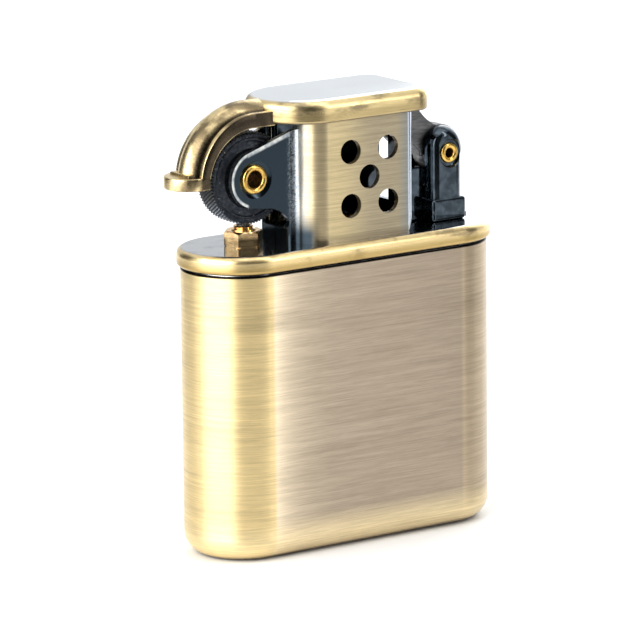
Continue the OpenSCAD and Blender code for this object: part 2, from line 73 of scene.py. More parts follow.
WHEEL_X = (WHEEL_LOW.x + WHEEL_HIGH.x) / 2
WHEEL_Z = (WHEEL_LOW.z + WHEEL_HIGH.z) / 2
WHEEL_R = (WHEEL_HIGH.x - WHEEL_LOW.x) / 2
HINGE_X = (PIN_LOW.x + PIN_HIGH.x) / 2
HINGE_Z = (PIN_LOW.z + PIN_HIGH.z) / 2
PLATE_TOP = PLATE_HIGH.z
EAR_SLOPE = 108
CASE_RUN = (CASE_HIGH.x - CASE_LOW.x - CASE_HIGH.y + CASE_LOW.y) / 2


# ---- Shape helpers ----
def arc(cx, cy, r, start, end, steps):
    """Points of an arc in a plane, from one angle to another in degrees."""
    turns = [radians(start + (end - start) * i / steps) for i in range(steps + 1)]
    return [(cx + r * cos(t), cy + r * sin(t)) for t in turns]


def shape(name, points, faces):
    """Mesh object in millimetres, with its faces turned outwards."""
    mesh = bpy.data.meshes.new(name)
    mesh.from_pydata([tuple(p) for p in points], [], faces)
    work = bmesh.new()
    work.from_mesh(mesh)
    bmesh.ops.remove_doubles(work, verts=work.verts, dist=1e-5)
    bmesh.ops.recalc_face_normals(work, faces=work.faces)
    work.to_mesh(mesh)
    work.free()
    piece = bpy.data.objects.new(name, mesh)
    SCENE.collection.objects.link(piece)
    return piece


def loft(name, rings, wrap=False):
    """Skin over closed rings of equal length. Wrap joins the last ring to the first, else both ends close."""
    count = len(rings[0])
    points = [p for ring in rings for p in ring]
    faces = []
    for i in range(len(rings) if wrap else len(rings) - 1):
        a = i * count
        b = (i + 1) % len(rings) * count
        faces += [(a + k, a + (k + 1) % count, b + (k + 1) % count, b + k) for k in range(count)]
    if not wrap:
        faces.append(tuple(range(count)))
        faces.append(tuple(range(len(points) - count, len(points))))
    return shape(name, points, faces)


def ring_y(x, z, r, y, steps):
    """Circle round an axis that runs along Y."""
    return [(px, y, pz) for px, pz in arc(x, z, r, 0, 360 - 360 / steps, steps - 1)]


def ring_z(x, y, r, z, steps):
    """Circle round an upright axis."""
    return [(px, py, z) for px, py in arc(x, y, r, 0, 360 - 360 / steps, steps - 1)]


def turned_y(name, x, z, profile, steps=64, wrap=False):
    """Turned piece on an axis along Y; the profile holds (radius, y)."""
    return loft(name, [ring_y(x, z, r, y, steps) for r, y in profile], wrap)


def turned_z(name, x, y, profile, steps=64, wrap=False):
    """Turned piece on an upright axis; the profile holds (radius, z)."""
    return loft(name, [ring_z(x, y, r, z, steps) for r, z in profile], wrap)


def slab_y(name, outline, y0, y1):
    """Flat outline in X and Z, given a thickness along Y."""
    return loft(name, [[(x, y, z) for x, z in outline] for y in (y0, y1)])


def slab_z(name, outline, z0, z1):
    """Flat outline in X and Y, given a height."""
    return loft(name, [[(x, y, z) for x, y in outline] for z in (z0, z1)])


def block(name, low, high):
    """Box between two corners, as a cutting shape or a raw block to be worked on."""
    outline = [(low[0], low[1]), (high[0], low[1]), (high[0], high[1]), (low[0], high[1])]
    return slab_z(name, outline, low[2], high[2])


def stadium(run, r, z, steps=40):
    """Ring with straight sides and half-round ends."""
    right = arc(run, 0, r, -90, 90, steps)
    left = arc(-run, 0, r, 90, 270, steps)
    return [(x, y, z) for x, y in right + left]


def baked(piece):
    """Applies the piece's modifiers to its mesh."""
    graph = bpy.context.evaluated_depsgraph_get()
    mesh = bpy.data.meshes.new_from_object(piece.evaluated_get(graph))
    piece.modifiers.clear()
    piece.data = mesh
    return piece


def combined(piece, others, how):
    """Cuts, joins or intersects a piece with other shapes, which are used up."""
    for other in others:
        step = piece.modifiers.new("combine", "BOOLEAN")
        step.operation = how
        step.solver = "EXACT"
        step.object = other
    baked(piece)
    for other in others:
        bpy.data.objects.remove(other)
    return piece


def cut(piece, *tools):
    return combined(piece, tools, "DIFFERENCE")


def joined(piece, *parts):
    return combined(piece, parts, "UNION")


def eased(piece, width, steps=3, angle=32):
    """Rounds the piece's sharp edges."""
    step = piece.modifiers.new("ease", "BEVEL")
    step.width = width
    step.segments = steps
    step.limit_method = "ANGLE"
    step.angle_limit = radians(angle)
    step.use_clamp_overlap = True
    return baked(piece)


def done(piece, look, body, nodes=(), sharp=34, areas=()):
    """Scales a finished shape to metres, sets its shading and material, and puts it on its body.

    Each area is a second material and a test of a face's centre, in millimetres, and its normal.
    """
    piece.data.transform(Matrix.Scale(MM, 4))
    piece.data.shade_smooth()
    piece.data.set_sharp_from_angle(angle=radians(sharp))
    weights = piece.modifiers.new("even shading", "WEIGHTED_NORMAL")
    weights.keep_sharp = True
    baked(piece)
    piece.data.materials.clear()
    piece.data.materials.append(look)
    for other, _ in areas:
        piece.data.materials.append(other)
    for face in piece.data.polygons:
        hits = [i + 1 for i, (_, test) in enumerate(areas) if test(face.center / MM, face.normal)]
        face.material_index = hits[0] if hits else 0
    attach(piece, body)
    if nodes:
        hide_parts(*nodes)
    return piece


# ---- Material helpers ----
class Look:
    """One material: a Principled shader and the nodes that feed it, laid out in millimetres."""

    def __init__(self, name, **fixed):
        self.material = bpy.data.materials.new(name)
        self.material.use_nodes = True
        self.tree = self.material.node_tree
        self.shader = self.tree.nodes["Principled BSDF"]
        for socket, value in fixed.items():
            self.shader.inputs[socket.replace("_", " ")].default_value = value
        coordinates = self.tree.nodes.new("ShaderNodeTexCoord").outputs["Object"]
        self.place = self.vector("SCALE", coordinates, scale=1 / MM)
        split = self.tree.nodes.new("ShaderNodeSeparateXYZ")
        self.link(self.place, split.inputs[0])
        self.x, self.y, self.z = split.outputs

    def link(self, source, socket):
        if isinstance(source, (int, float, tuple)):
            socket.default_value = source
        else:
            self.tree.links.new(source, socket)

    def vector(self, how, a, b=None, scale=None):
        node = self.tree.nodes.new("ShaderNodeVectorMath")
        node.operation = how
        self.link(a, node.inputs[0])
        if b is not None:
            self.link(b, node.inputs[1])
        if scale is not None:
            node.inputs["Scale"].default_value = scale
        return node.outputs["Vector"]

    def math(self, how, a, b=0.0, clamp=False):
        node = self.tree.nodes.new("ShaderNodeMath")
        node.operation = how
        node.use_clamp = clamp
        self.link(a, node.inputs[0])
        self.link(b, node.inputs[1])
        return node.outputs[0]

    def between(self, value, start, end, low=0.0, high=1.0):
        """Smooth step of a value from low at start to high at end."""
        node = self.tree.nodes.new("ShaderNodeMapRange")
        node.interpolation_type = "SMOOTHSTEP"
        self.link(value, node.inputs["Value"])
        for socket, number in zip(("From Min", "From Max", "To Min", "To Max"), (start, end, low, high)):
            node.inputs[socket].default_value = number
        return node.outputs["Result"]

    def noise(self, per_mm, detail=3.0, rough=0.55, bend=0.0):
        """Noise from 0 to 1; per_mm is how many bumps there are along X, Y and Z."""
        node = self.tree.nodes.new("ShaderNodeTexNoise")
        self.link(self.vector("MULTIPLY", self.place, tuple(per_mm)), node.inputs["Vector"])
        node.inputs["Scale"].default_value = 1.0
        node.inputs["Detail"].default_value = detail
        node.inputs["Roughness"].default_value = rough
        node.inputs["Distortion"].default_value = bend
        return node.outputs["Fac"]

    def mix(self, share, a, b):
        node = self.tree.nodes.new("ShaderNodeMix")
        node.data_type = "RGBA"
        self.link(share, node.inputs["Factor"])
        self.link(a, node.inputs["A"])
        self.link(b, node.inputs["B"])
        return next(o for o in node.outputs if o.type == "RGBA")

    def shaded(self, colour, level):
        """A colour made lighter or darker by a level."""
        return self.vector("MULTIPLY", colour, self.grey(level))

    def grey(self, level):
        node = self.tree.nodes.new("ShaderNodeCombineXYZ")
        for socket in node.inputs:
            self.link(level, socket)
        return node.outputs[0]

    def finish(self, colour, roughness, height=None, depth=0.01, soft=1.0):
        self.link(colour, self.shader.inputs["Base Color"])
        self.link(roughness, self.shader.inputs["Roughness"])
        if height is not None:
            bump = self.tree.nodes.new("ShaderNodeBump")
            bump.inputs["Strength"].default_value = soft
            bump.inputs["Distance"].default_value = depth * MM
            self.link(height, bump.inputs["Height"])
            self.tree.links.new(bump.outputs["Normal"], self.shader.inputs["Normal"])
        return self.material

    def brushed_along(self, axis="Z", turn=0.25):
        """Stretches highlights across the brushing, which runs round the given axis."""
        tangent = self.tree.nodes.new("ShaderNodeTangent")
        tangent.direction_type = "RADIAL"
        tangent.axis = axis
        self.tree.links.new(tangent.outputs[0], self.shader.inputs["Tangent"])
        self.shader.inputs["Anisotropic Rotation"].default_value = turn


GOLD = (0.86, 0.67, 0.34, 1)
PALE_GOLD = (0.98, 0.80, 0.46, 1)
TAUPE = (0.39, 0.315, 0.235, 1)
PATINA = (0.20, 0.155, 0.10, 1)
GAP_SHADE = (0.012, 0.010, 0.008, 1)
BLACK_NICKEL = (0.030, 0.042, 0.053, 1)
BLUE_GREY = (0.42, 0.47, 0.52, 1)
REFLECTED_WHITE = (0.98, 1.0, 1.0, 1)


def brushing(look, fine=8.5, coarse=2.6):
    """Horizontal brush marks: long along the surface, fine up and down."""
    hair = look.noise((0.22, 0.22, fine), detail=5.0, rough=0.75)
    band = look.noise((0.06, 0.06, coarse), detail=3.0, rough=0.6)
    return look.math("ADD", look.math("MULTIPLY", hair, 0.68), look.math("MULTIPLY", band, 0.32))


def case_look():
    look = Look("brushed antique brass", Metallic=1.0, Anisotropic=0.8)
    look.brushed_along()
    marks = brushing(look)
    away = look.math("SUBTRACT", look.math("ABSOLUTE", look.x), CASE_RUN)
    flat = look.between(away, 0.15, -0.5)
    # Painted highlight: the flat faces lighter next to the left rounding, fading towards the middle.
    from_left = look.math("MULTIPLY", look.math("ADD", look.x, CASE_RUN), -1 / 2.6)
    left_painted_highlight = look.math("POWER", 2.72, from_left)
    on_flat = look.mix(left_painted_highlight, TAUPE, (1.0, 0.84, 0.60, 1))
    # Painted shade: the right-hand rounding darker than the gold left one.
    rounding = look.mix(look.between(look.x, -1.0, 1.0), GOLD, (0.48, 0.38, 0.26, 1))
    colour = look.mix(flat, rounding, on_flat)
    clouds = look.noise((0.05, 0.05, 0.20), detail=4.0)
    colour = look.mix(look.between(clouds, 0.5, 0.8, 0.0, 0.30), colour, PATINA)
    # Lighter towards the bottom, then darker again at the very bottom edge.
    lighter_band = look.between(look.z, CASE_LOW.z + 5.5, CASE_LOW.z + 2.2, 0.0, 0.6)
    colour = look.mix(lighter_band, colour, PALE_GOLD)
    foot = look.between(look.z, CASE_LOW.z + 0.8, CASE_LOW.z + 0.15, 0.0, 0.85)
    colour = look.mix(foot, colour, PATINA)
    # Painted shade: a dark line along the top edge, in the gap under the plate.
    seam = look.between(look.z, CASE_HIGH.z - 0.22, CASE_HIGH.z - 0.1)
    colour = look.mix(seam, colour, GAP_SHADE)
    colour = look.shaded(colour, look.between(marks, 0.32, 0.68, 0.80, 1.14))
    rough = look.between(marks, 0.3, 0.7, 0.40, 0.32)
    return look.finish(colour, rough, marks, depth=0.006, soft=0.5)


def plate_look():
    look = Look("antique brass plate", Metallic=1.0, Anisotropic=0.6)
    look.brushed_along()
    marks = brushing(look, fine=6.0)
    smudge = look.noise((0.22, 0.22, 0.5), detail=5.0, rough=0.6)
    rim = look.mix(look.between(smudge, 0.50, 0.66, 0.0, 0.55), (0.94, 0.72, 0.36, 1), PATINA)
    rim = look.shaded(rim, look.between(marks, 0.3, 0.7, 0.82, 1.08))
    shade = look.between(look.z, PLATE_LOW.z + 1.5, PLATE_LOW.z + 0.5, 0.0, 0.75)
    rim = look.mix(shade, rim, (0.40, 0.27, 0.08, 1))
    # Painted reflection: the top is grey, with dark blotches standing in for the dark parts mirrored in it.
    top = look.between(look.z, PLATE_TOP - 0.12, PLATE_TOP - 0.01)
    painted_reflection_mottle = look.between(look.noise((0.5, 0.5, 0.5), detail=6.0), 0.45, 0.75, 0.0, 0.35)
    upper = look.mix(painted_reflection_mottle, (0.55, 0.56, 0.56, 1), (0.14, 0.145, 0.15, 1))
    colour = look.mix(top, rim, upper)
    # Painted shade: a dark line along the bottom edge, in the gap over the case.
    seam = look.between(look.z, PLATE_LOW.z + 0.22, PLATE_LOW.z + 0.1)
    colour = look.mix(seam, colour, GAP_SHADE)
    rough = look.mix(top, look.grey(look.between(marks, 0.3, 0.7, 0.36, 0.26)), (0.13, 0.13, 0.13, 1))
    return look.finish(colour, rough, marks, depth=0.006, soft=0.4)


def from_axle(look):
    """Distances of a point from the wheel's axle: along X, upwards, and the square of the radius."""
    across = look.math("SUBTRACT", look.x, WHEEL_X)
    up = look.math("SUBTRACT", look.z, WHEEL_Z)
    square = look.math("ADD", look.math("MULTIPLY", across, across), look.math("MULTIPLY", up, up))
    return across, up, square


def ear_rim(look):
    """Band along the ear's outline, round its end and up its slope: painted highlight, and wear on the edge.
    """
    across, up, square = from_axle(look)
    ear_r = WHEEL_X - CHIMNEY_LOW.x
    slope = radians(EAR_SLOPE)
    sideways = look.math("MULTIPLY", across, cos(slope))
    leaning = look.math("ADD", sideways, look.math("MULTIPLY", up, sin(slope)))
    on_end = look.between(across, -0.9, -1.3)
    end = look.math("MULTIPLY", look.between(square, (ear_r - 0.42) ** 2, (ear_r - 0.2) ** 2), on_end)
    on_slope = look.between(across, -1.3, -0.9)
    side = look.math("MULTIPLY", look.between(leaning, ear_r - 0.6, ear_r - 0.25), on_slope)
    band = look.math("MAXIMUM", end, side)
    return look.math("MULTIPLY", band, look.between(look.x, -7.8, -8.8))


def chimney_look():
    look = Look("chimney brass and black nickel", Metallic=1.0, Anisotropic=0.6)
    look.brushed_along()
    marks = brushing(look, fine=8.5, coarse=4.0)
    edge = CHIMNEY_HIGH.x
    # Painted highlight: the front face lighter towards the left and brightest on the left corner; greyer
    # towards the right edge.
    face = look.mix(look.between(look.x, 2.5, -4.4), (0.40, 0.335, 0.225, 1), (0.62, 0.50, 0.28, 1))
    face = look.mix(look.between(look.x, edge - 2.6, edge - 0.9), face, (0.30, 0.30, 0.27, 1))
    brass = look.mix(look.between(look.x, -4.5, -5.3), face, (0.64, 0.52, 0.31, 1))
    brass = look.shaded(brass, look.between(marks, 0.30, 0.70, 0.72, 1.14))
    steel = look.between(look.x, edge - 0.95, edge - 0.8)
    colour = look.mix(steel, brass, (0.62, 0.68, 0.74, 1))
    low = look.between(look.z, PLATE_TOP + 1.2, PLATE_TOP, 0.0, 0.55)
    colour = look.mix(low, colour, PATINA)
    speckle = look.math("MULTIPLY", look.noise((3.6, 3.6, 3.6), detail=4.0, rough=0.85), 3.0)
    fade = look.math("ADD", look.x, speckle)
    grey = look.between(fade, -5.2, -6.5)
    colour = look.mix(grey, colour, BLUE_GREY)
    black = look.between(fade, -6.0, -7.4)
    colour = look.mix(black, colour, BLACK_NICKEL)
    near_plate = look.between(look.z, PLATE_TOP + 4.5, PLATE_TOP + 1)
    corner = look.math("MULTIPLY", look.between(look.x, -5.8, -7.0), near_plate)
    colour = look.mix(corner, colour, BLACK_NICKEL)
    # Painted highlight along the ear's outline, also standing for wear on the edge.
    band_mottle = look.between(look.noise((1.2, 1.2, 1.2), detail=4.0), 0.3, 0.7)
    lighter_band = look.mix(band_mottle, (0.30, 0.34, 0.38, 1), (0.80, 0.80, 0.74, 1))
    colour = look.mix(ear_rim(look), colour, lighter_band)
    rough = look.mix(black, look.grey(look.between(marks, 0.3, 0.7, 0.42, 0.30)), (0.13, 0.13, 0.13, 1))
    rough = look.mix(steel, rough, (0.16, 0.16, 0.16, 1))
    return look.finish(colour, rough, marks, depth=0.008, soft=0.5)


# Bright metal for the ear's cut edges: wear, and a painted highlight along them.
def edge_wear_and_highlight_look():
    look = Look("bright edge wear and painted highlight", Metallic=1.0)
    marks = look.noise((1.6, 6.0, 1.6), detail=4.0, rough=0.7)
    colour = look.mix(look.between(marks, 0.3, 0.7), (0.50, 0.52, 0.54, 1), (0.92, 0.93, 0.92, 1))
    return look.finish(colour, look.between(marks, 0.3, 0.7, 0.28, 0.14), marks, depth=0.006, soft=0.4)


def cap_look():
    look = Look("cap brass", Metallic=1.0, Anisotropic=0.45)
    look.brushed_along()
    marks = look.noise((0.25, 0.25, 5.0), detail=4.0, rough=0.7)
    smudge = look.noise((0.16, 0.16, 0.45), detail=4.0, rough=0.6)
    rim = look.mix(look.between(smudge, 0.47, 0.64, 0.0, 0.8), (0.82, 0.64, 0.32, 1), PATINA)
    rim = look.shaded(rim, look.between(marks, 0.3, 0.7, 0.80, 1.10))
    shade = look.between(look.z, CAP_HIGH.z - 1.3, CAP_LOW.z + 0.9, 0.0, 0.6)
    rim = look.mix(shade, rim, (0.40, 0.30, 0.14, 1))
    # Painted reflection: the cap's top is near-white, standing in for the bright studio mirrored in it.
    top = look.between(look.z, CAP_HIGH.z - 0.22, CAP_HIGH.z - 0.015)
    colour = look.mix(top, rim, REFLECTED_WHITE)
    right = look.between(look.x, CAP_HIGH.x - 1.4, CAP_HIGH.x - 0.3, 0.0, 0.8)
    colour = look.mix(right, colour, (0.60, 0.60, 0.60, 1))
    under = look.between(look.z, CAP_LOW.z + 0.35, CAP_LOW.z + 0.05, 0.0, 0.7)
    colour = look.mix(under, colour, (0.18, 0.16, 0.14, 1))
    satin = look.grey(look.between(marks, 0.3, 0.7, 0.36, 0.26))
    rough = look.mix(top, satin, (0.12, 0.12, 0.12, 1))
    return look.finish(colour, rough, marks, depth=0.006, soft=0.4)


def lever_look():
    look = Look("lever brass", Metallic=1.0, Anisotropic=0.35)
    look.brushed_along("Y", 0.0)
    marks = look.noise((2.2, 0.5, 2.2), detail=4.0, rough=0.7)
    blots = look.noise((0.2, 0.35, 0.2), detail=3.0, rough=0.5, bend=0.4)
    blotted = look.between(blots, 0.45, 0.62, 0.0, 0.85)
    colour = look.mix(blotted, (0.92, 0.72, 0.38, 1), (0.13, 0.095, 0.055, 1))
    colour = look.shaded(colour, look.between(marks, 0.3, 0.7, 0.80, 1.12))
    side = look.between(look.math("ABSOLUTE", look.y), LEVER_HIGH.y - 0.08, LEVER_HIGH.y - 0.02)
    tab = look.between(look.x, WHEEL_X - 7.6, WHEEL_X - 8.4)
    skirt = look.math("MULTIPLY", side, look.math("SUBTRACT", 1.0, tab))
    colour = look.mix(look.math("MULTIPLY", skirt, 0.95), colour, (0.045, 0.034, 0.025, 1))
    # Painted shade: a dark line along each crease between the ridge and its flanges.
    from_crease = look.math("ABSOLUTE", look.math("SUBTRACT", look.math("ABSOLUTE", look.y), 1.98))
    crease = look.math("MULTIPLY", look.between(from_crease, 0.34, 0.16), look.math("SUBTRACT", 1.0, tab))
    colour = look.mix(look.math("MULTIPLY", crease, 0.93), colour, (0.035, 0.028, 0.02, 1))
    rough = look.between(marks, 0.3, 0.7, 0.34, 0.22)
    return look.finish(colour, rough, marks, depth=0.006, soft=0.5)


def black_nickel_look():
    look = Look("polished black nickel", Metallic=1.0, Coat_Weight=0.35, Coat_Roughness=0.06)
    haze = look.noise((0.9, 0.9, 0.9), detail=4.0)
    colour = look.mix(look.between(haze, 0.35, 0.7), BLACK_NICKEL, (0.075, 0.098, 0.118, 1))
    rough = look.between(look.noise((6, 6, 6), detail=3.0), 0.3, 0.7, 0.05, 0.13)
    return look.finish(colour, rough, look.noise((2.5, 2.5, 2.5), detail=5.0), depth=0.01, soft=0.25)


def arm_look():
    look = Look("satin grey nickel", Metallic=1.0, Anisotropic=0.4)
    look.brushed_along("Y", 0.0)
    marks = look.noise((0.5, 4.0, 4.5), detail=4.0, rough=0.7)
    colour = look.mix(look.between(marks, 0.3, 0.7), (0.10, 0.10, 0.105, 1), (0.20, 0.195, 0.19, 1))
    side = look.between(look.noise((0.3, 0.3, 0.3)), 0.35, 0.7, 0.85, 1.15)
    rough = look.between(marks, 0.3, 0.7, 0.42, 0.32)
    return look.finish(look.shaded(colour, side), rough, marks, depth=0.008, soft=0.5)


def rivet_look():
    look = Look("bright rivet brass", Metallic=1.0)
    stain = look.noise((1.3, 1.3, 1.3), detail=4.0)
    stained = look.between(stain, 0.42, 0.72, 0.0, 0.7)
    colour = look.mix(stained, (0.86, 0.55, 0.14, 1), (0.38, 0.20, 0.05, 1))
    rough = look.between(look.noise((7, 7, 7)), 0.3, 0.7, 0.16, 0.3)
    return look.finish(colour, rough, look.noise((5, 5, 5), detail=4.0), depth=0.012, soft=0.4)


# Inside of the rivets' bores: tarnish, and painted shade of the deep hole.
def bore_look():
    look = Look("tarnished bore and painted shade", Metallic=1.0)
    stain = look.noise((2.0, 2.0, 2.0), detail=4.0)
    colour = look.mix(look.between(stain, 0.35, 0.7), (0.10, 0.055, 0.02, 1), (0.30, 0.16, 0.05, 1))
    return look.finish(colour, look.between(stain, 0.3, 0.7, 0.5, 0.35), stain, depth=0.02, soft=0.4)


def fitting_look():
    look = Look("machined copper brass", Metallic=1.0)
    turning = look.noise((0.8, 0.8, 7.0), detail=3.0)
    stain = look.noise((0.9, 0.9, 0.9), detail=4.0)
    stained = look.between(stain, 0.4, 0.75, 0.0, 0.6)
    colour = look.mix(stained, (0.98, 0.68, 0.34, 1), (0.50, 0.28, 0.12, 1))
    colour = look.shaded(colour, look.between(turning, 0.3, 0.7, 0.85, 1.1))
    return look.finish(colour, look.between(turning, 0.3, 0.7, 0.12, 0.24), turning, depth=0.01, soft=0.5)


def wheel_look():
    look = Look("black oxide steel", Metallic=0.85, Specular_IOR_Level=0.4)
    dust = look.noise((2.4, 2.4, 2.4), detail=6.0, rough=0.7)
    colour = look.mix(look.between(dust, 0.4, 0.75), (0.022, 0.026, 0.034, 1), (0.07, 0.075, 0.085, 1))
    square = from_axle(look)[2]
    tips = look.between(square, (WHEEL_R - 0.26) ** 2, (WHEEL_R - 0.03) ** 2, 0.0, 0.9)
    colour = look.mix(tips, colour, (0.20, 0.215, 0.24, 1))
    specks = look.between(look.noise((3.6, 3.6, 3.6), detail=1.0), 0.74, 0.78)
    colour = look.mix(specks, colour, (0.5, 0.48, 0.44, 1))
    return look.finish(colour, look.between(dust, 0.3, 0.7, 0.5, 0.38), dust, depth=0.02, soft=0.5)


def steel_look(name, light, dark, rough=0.3, along=(0.6, 0.6, 5.0)):
    """Plain bright sheet, strip or wire with faint drawing marks."""
    look = Look(name, Metallic=1.0)
    marks = look.noise(along, detail=4.0, rough=0.7)
    stain = look.noise((0.25, 0.25, 0.25), detail=5.0)
    colour = look.mix(look.between(marks, 0.3, 0.7), dark, light)
    colour = look.shaded(colour, look.between(stain, 0.35, 0.7, 0.82, 1.08))
    return look.finish(colour, look.between(marks, 0.3, 0.7, rough + 0.06, rough - 0.05), marks, 0.01, 0.4)


def flint_look():
    look = Look("flint alloy", Metallic=0.6)
    grain = look.noise((5, 5, 5), detail=5.0, rough=0.7)
    colour = look.mix(look.between(grain, 0.35, 0.7), (0.07, 0.07, 0.065, 1), (0.2, 0.195, 0.18, 1))
    return look.finish(colour, look.between(grain, 0.3, 0.7, 0.75, 0.55), grain, depth=0.05)


def fibre_look(name, light, dark, per_mm=3.0, depth=0.12):
    """Matted fibres of cotton or felt."""
    look = Look(name, Sheen_Weight=0.4, Sheen_Roughness=0.6)
    strands = look.noise((per_mm, per_mm, per_mm * 0.6), detail=6.0, rough=0.75, bend=2.5)
    tufts = look.noise((0.5, 0.5, 0.5), detail=3.0)
    colour = look.mix(look.between(strands, 0.35, 0.65), dark, light)
    colour = look.shaded(colour, look.between(tufts, 0.3, 0.7, 0.86, 1.08))
    return look.finish(colour, look.between(strands, 0.3, 0.7, 0.95, 0.85), strands, depth=depth)


def wick_look(tip):
    look = Look("braided wick", Sheen_Weight=0.3)
    strands = look.noise((4, 4, 1.6), detail=5.0, rough=0.7, bend=1.5)
    colour = look.mix(look.between(strands, 0.35, 0.65), (0.50, 0.44, 0.33, 1), (0.86, 0.81, 0.68, 1))
    ragged = look.math("ADD", look.z, look.math("MULTIPLY", strands, 1.5))
    char = look.between(ragged, tip - 3.2, tip - 1.0)
    colour = look.mix(char, colour, (0.012, 0.011, 0.010, 1))
    return look.finish(colour, look.between(strands, 0.3, 0.7, 0.95, 0.85), strands, depth=0.08)


def floor_look():
    look = Look("pale floor", Roughness=0.6)
    mottle = look.noise((0.01, 0.01, 0.01), detail=3.0)
    colour = look.mix(mottle, (0.90, 0.90, 0.90, 1), (0.93, 0.93, 0.93, 1))
    return look.finish(colour, look.between(mottle, 0.3, 0.7, 0.55, 0.65))


def board_look():
    look = Look("dark board", Roughness=0.9)
    grain = look.noise((0.05, 0.05, 0.05), detail=4.0)
    colour = look.mix(grain, (0.030, 0.031, 0.033, 1), (0.045, 0.046, 0.048, 1))
    return look.finish(colour, look.between(grain, 0.3, 0.7, 0.85, 0.95))


# ---- Pieces ----
def quarter(inset_r, low, high, up, steps=8):
    """(inset, z) pairs of a rounded edge: from the flat end inwards to the side when up is False."""
    turns = [radians(90 * i / steps) for i in range(steps + 1)]
    if up:
        return [(inset_r * (1 - cos(t)), high - inset_r + inset_r * sin(t)) for t in turns]
    return [(inset_r * (1 - sin(t)), low + inset_r * (1 - cos(t))) for t in turns]


def outer_case(look):
    r = CASE_HIGH.y
    edge = 2.8
    wall = 0.7
    lip = 0.14
    inner = r - wall
    rings = [stadium(CASE_RUN, r - d, z) for d, z in quarter(edge, CASE_LOW.z, 0, False, 14)]
    rings += [stadium(CASE_RUN, r - d, z) for d, z in quarter(lip, 0, CASE_HIGH.z, True, 4)]
    rings += [stadium(CASE_RUN, inner + d, z) for d, z in reversed(quarter(lip, 0, CASE_HIGH.z, True, 4))]
    floor = quarter(edge - wall, CASE_LOW.z + wall, 0, False, 8)
    rings += [stadium(CASE_RUN, inner - d, z) for d, z in reversed(floor)]
    done(loft("case_shell", rings), look, "case", ["outer_case"])


def top_plate(look):
    r = PLATE_HIGH.y
    rings = [stadium(CASE_RUN, r - d, z) for d, z in quarter(0.5, PLATE_LOW.z, 0, False, 6)]
    rings += [stadium(CASE_RUN, r - d, z) for d, z in quarter(0.85, 0, PLATE_HIGH.z, True, 12)]
    done(loft("plate_bullnose", rings), look, "insert", ["top_plate"])


SHEET = 0.7
CORNER_R = 3.0
CORNER_TURN = 75
FLAT_X0 = -4.66


def chimney_plan():
    """Front half of the chimney sheet seen from above."""
    half = CHIMNEY_HIGH.y
    x1 = CHIMNEY_HIGH.x
    ear_y = half - 3.0
    fillet = (half - ear_y) / (1 - cos(radians(CORNER_TURN))) - CORNER_R
    turn = -90 - CORNER_TURN
    reach = CORNER_R + fillet
    fx = FLAT_X0 + reach * cos(radians(turn))
    fy = CORNER_R - half + reach * sin(radians(turn))
    far = CHIMNEY_LOW.x - 1.5
    end_r = 0.72
    slot = 1.4
    outline = [(x1, -slot)]
    outline += arc(x1 - end_r, end_r - half, end_r, 0, -90, 8)
    outline += arc(FLAT_X0, CORNER_R - half, CORNER_R, -90, turn, 26)
    outline += arc(fx, fy, fillet, turn + 180, 90, 12)
    outline += [(far, -ear_y), (far, SHEET - ear_y)]
    outline += arc(fx, fy, fillet + SHEET, 90, turn + 180, 12)
    outline += arc(FLAT_X0, CORNER_R - half, CORNER_R - SHEET, turn, -90, 26)
    outline += [(x1 - SHEET, SHEET - half), (x1 - SHEET, -slot)]
    return outline


def chimney_side():
    """Side outline of the chimney with its round ear, notch and cut corner."""
    ear_r = WHEEL_X - CHIMNEY_LOW.x
    right = CHIMNEY_HIGH.x
    top = CHIMNEY_HIGH.z
    body = -7.6
    wall = CHIMNEY_LOW.z
    outline = arc(WHEEL_X, WHEEL_Z, ear_r, EAR_SLOPE, 260, 40)
    outline += arc(-11.9, wall + 0.9, 3.75, 92, 28, 14)
    outline += [(-8.8, wall + 2.0), (-8.8, wall), (right - 0.8, wall), (right, wall + 2.7)]
    outline += [(right + 1, wall + 2.7), (right + 1, top), (body, top), (body, top - 1.3)]
    return outline


AIR_HOLE_R = 1.48
AIR_HOLES = [(1.1, 45.2)] + [(1.1 + i * 2.75, 45.2 + k * 3.3) for i in (-1, 1) for k in (-1, 1)]


